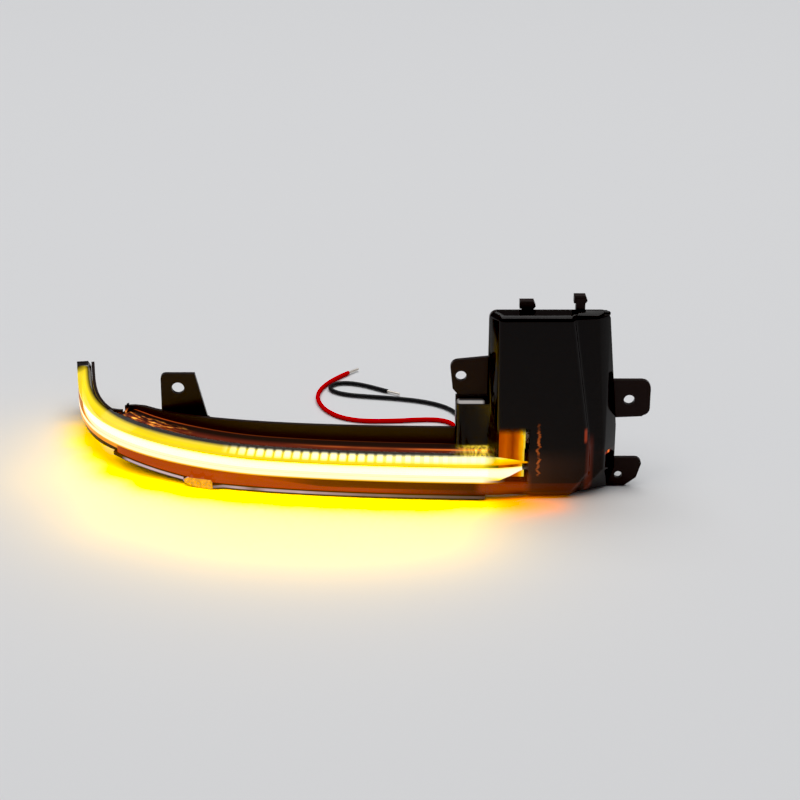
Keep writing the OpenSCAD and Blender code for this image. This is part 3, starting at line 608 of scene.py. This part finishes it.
def plateMaterial():
    mat, tree, shader = newMaterial("endPlateGlow")
    shader.inputs["Base Color"].default_value = (0.25, 0.06, 0.01, 1)
    x, y, z = objectParts(tree)
    across = mapRange(tree, x, plateLook["left"], plateLook["right"])
    wander = maths(tree, "MULTIPLY", maths(tree, "SUBTRACT", streaks(tree, x, z, 0.5, 0.12), 0.5), 0.22)
    colour = ramp(tree, maths(tree, "ADD", across, wander), plateLook["stops"])
    # the painted glow fades toward the plate's top
    fade = mapRange(tree, z, plateLook["top"], plateLook["top"] - 4, 0.35, 1.0, smooth=True)
    tree.links.new(colour, shader.inputs["Emission Color"])
    tree.links.new(maths(tree, "MULTIPLY", fade, plateLook["power"]), shader.inputs["Emission Strength"])
    return mat


ledGlow = ledMaterial()
finishes.update({"lower_leds": ledGlow, "upper_leds": ledGlow, "end_baffle": plateMaterial()})


def dress(node, mat):
    piece = nodes[node]
    piece.data.materials.clear()
    piece.data.materials.append(mat)


for node, mat in finishes.items():
    dress(node, mat)
for node in ("lower_leds", "upper_leds", "end_baffle"):
    nodes[node].visible_diffuse = False

print("CAD nodes dressed")

# The two supply leads, on the part's own routes, in millimetres
leads = {
    "red_lead": {"name": "redLead", "slot": "red_insulation", "mat": redJacket, "tip": "red_lead_tip", "points": [
        (53.6, -20, 23), (51.4, -20, 23), (49.2, -19.9, 23), (46.8, -18.4, 22.1), (45.7, -14.4, 19.2), (45.5, -8, 13.9),
        (45, -3, 10.2), (44.3, 2.5, 6.6), (43.8, 8, 3.6), (43.6, 13.5, 1.7), (43.5, 19, 1),
        (42.2, 24.4, 1), (38.4, 27.9, 1), (32, 29, 1), (24, 28, 1), (12, 26.8, 1), (2, 27.4, 1),
        (-6, 31, 1), (-12.4, 39, 1), (-15.4, 49, 1), (-14.6, 59, 1), (-9, 69.4, 1), (-2, 77, 1)]},
    "black_lead": {"name": "blackLead", "slot": "black_insulation", "mat": blackJacket, "tip": "black_lead_tip",
                   "points": [
        (53.6, -20, 26), (51.4, -20, 26), (49.2, -19.9, 26), (47.2, -18.3, 25.1), (46.5, -14.4, 22.3), (46.7, -8, 17.1),
        (46.7, -2.5, 13.1), (46.6, 4, 8.6), (46.6, 10.5, 4.8), (46.6, 17, 2.2), (46.4, 23.5, 1),
        (45.6, 30, 1), (43.4, 36.4, 1), (39, 42, 1), (31, 46.8, 1), (21, 49.6, 1), (11, 51.4, 1),
        (2, 52.8, 1), (-4.6, 54.6, 1), (-9.2, 58, 1), (-10.3, 62.2, 1), (-7.6, 65.7, 1), (-3, 66.6, 1),
        (3, 65, 1), (9, 61.4, 1), (15, 57.5, 1)]},
}
leadLook = {"diameter": 1.7, "floorGap": 0.87, "between": 8}


# Points of a smooth curve that follows the given ones, straight at both ends
def smoothRoute(points, between):
    pts = [np.array(p, float) for p in points]
    pts = [2 * pts[0] - pts[1]] + pts + [2 * pts[-1] - pts[-2]]
    made = []
    for a, b, c, d in zip(pts, pts[1:], pts[2:], pts[3:]):
        for k in range(between):
            t = k / between
            made.append(((1 - t) ** 3 * a + (3 * t ** 3 - 6 * t * t + 4) * b
                         + (-3 * t ** 3 + 3 * t * t + 3 * t + 1) * c + t ** 3 * d) / 6)
    made.append(pts[-2])
    return [np.array([p[0], p[1], max(p[2], leadLook["floorGap"])]) for p in made]


def makeLead(node, lead):
    route = smoothRoute(lead["points"], leadLook["between"])
    curve = bpy.data.curves.new(lead["name"], "CURVE")
    curve.dimensions, curve.fill_mode = "3D", "FULL"
    curve.bevel_depth, curve.bevel_resolution = leadLook["diameter"] / 2 * mm, 4
    curve.use_fill_caps = True
    spline = curve.splines.new("POLY")
    spline.points.add(len(route) - 1)
    for point, place in zip(spline.points, route):
        point.co = (*(place * mm), 1)
    curve.materials.append(lead["mat"])
    piece = bpy.data.objects.new(lead["name"], curve)
    scene.collection.objects.link(piece)
    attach(piece, "root")
    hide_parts(node)


for node, lead in leads.items():
    makeLead(node, lead)

# Table, room light and the lamp's own light on the table
room = {"table": (0.72, 0.722, 0.73), "world": (0.16, 0.163, 0.168), "overheadPower": 70, "overheadSize": 3.2,
        "overheadHigh": 2.4}


def makeTable():
    shape = bmesh.new()
    bmesh.ops.create_grid(shape, x_segments=1, y_segments=1, size=6)
    mesh = bpy.data.meshes.new("table")
    shape.to_mesh(mesh)
    shape.free()
    mat, tree, shader = newMaterial("tablePaper")
    shader.inputs["Base Color"].default_value = (*room["table"], 1)
    shader.inputs["Specular IOR Level"].default_value = 0.2
    grain = grainBump(tree, shader, 650, 0.03)
    tree.links.new(mapRange(tree, grain, 0.3, 0.7, 0.80, 0.90), shader.inputs["Roughness"])
    mesh.materials.append(mat)
    table = bpy.data.objects.new("table", mesh)
    table.location.z = -0.0001
    scene.collection.objects.link(table)


def areaLight(name, place, aim, size, power, colour, sizeY=None, hidden=False):
    data = bpy.data.lights.new(name, "AREA")
    data.shape = "RECTANGLE"
    data.size, data.size_y = size, sizeY or size
    data.energy, data.color = power, colour
    lamp = bpy.data.objects.new(name, data)
    lamp.location = place
    lamp.rotation_euler = (Vector(aim) - Vector(place)).to_track_quat("-Z", "Y").to_euler()
    scene.collection.objects.link(lamp)
    if hidden:
        lamp.visible_camera = lamp.visible_glossy = False
    return lamp


makeTable()
world = bpy.data.worlds.new("room")
world.use_nodes = True
world.node_tree.nodes["Background"].inputs[0].default_value = (*room["world"], 1)
world.node_tree.nodes["Background"].inputs[1].default_value = 1
scene.world = world
areaLight("overhead", (0, 0.3, room["overheadHigh"]), (0, 0, 0), room["overheadSize"], room["overheadPower"],
          (1, 1, 1))

# The bands' light on the table: a row close to the strip, a wider row before it, and an orange end
# under the tail. Rows are (along, out, high, size, power), in millimetres and watts.
spill = {
    "near": {"colour": (1.0, 0.58, 0.0), "size": (16, 9), "lamps": [
        (24, 4, 9, 0.0022), (42, 4, 9, 0.0040), (60, 4, 9, 0.0044), (78, 4, 9, 0.0044), (96, 4, 9, 0.0044),
        (114, 4, 9, 0.0044), (132, 4, 9, 0.0044), (150, 4, 9, 0.0040), (168, 2, 9, 0.0034), (184, -3, 8, 0.0026),
        (200, -4, 8, 0.0030), (214, -4, 8, 0.0020)]},
    "wide": {"colour": (1.0, 0.66, 0.16), "size": (34, 26), "lamps": [
        (40, 28, 30, 0.0110), (75, 30, 30, 0.0150), (110, 30, 30, 0.0155), (145, 28, 30, 0.0120),
        (178, 18, 30, 0.0060), (205, 10, 30, 0.0020)]},
    "end": {"colour": (1.0, 0.22, 0.0), "size": (14, 8), "lamps": [(9, 4, 8, 0.0016), (-5, 4, 7, 0.0007)]},
}


def makeSpill():
    for row, look in spill.items():
        for i, (along, out, high, power) in enumerate(look["lamps"]):
            at = np.array([np.interp(along, railAlong, railPts[:, k]) for k in (0, 1)])
            way = np.array([np.interp(along, railAlong, railOut[:, k]) for k in (0, 1)])
            if along < 0:
                at = railPts[0] + along * railWay[0]
            at = at + way * out
            place = Vector((*at, high)) * mm
            areaLight(f"{row}{i}", place, (place.x, place.y, 0), look["size"][0] * mm, power, look["colour"],
                      sizeY=look["size"][1] * mm, hidden=True)


makeSpill()
print("table and lights made")

# Camera response: plain curve, deeper blacks, a little more colour, and the soft halo of the lit bands
grade = {"saturation": 1.30, "blackLevel": -0.6, "haloThreshold": 1.2, "haloStrength": 0.05, "haloSize": 0.25}


def makeGrade():
    scene.view_settings.view_transform = "Standard"
    scene.use_nodes = True
    tree = scene.node_tree
    tree.nodes.clear()
    layers = tree.nodes.new("CompositorNodeRLayers")
    out = tree.nodes.new("CompositorNodeComposite")
    halo = tree.nodes.new("CompositorNodeGlare")
    halo.glare_type = "BLOOM"
    blacks = tree.nodes.new("CompositorNodeBrightContrast")
    tone = tree.nodes.new("CompositorNodeHueSat")
    halo.inputs["Threshold"].default_value = grade["haloThreshold"]
    halo.inputs["Strength"].default_value = grade["haloStrength"]
    halo.inputs["Size"].default_value = grade["haloSize"]
    blacks.inputs["Bright"].default_value = grade["blackLevel"]
    tone.inputs["Saturation"].default_value = grade["saturation"]
    tree.links.new(layers.outputs["Image"], halo.inputs["Image"])
    tree.links.new(halo.outputs["Image"], blacks.inputs["Image"])
    tree.links.new(blacks.outputs["Image"], tone.inputs["Image"])
    tree.links.new(tone.outputs["Image"], out.inputs["Image"])


makeGrade()
print("grade set")
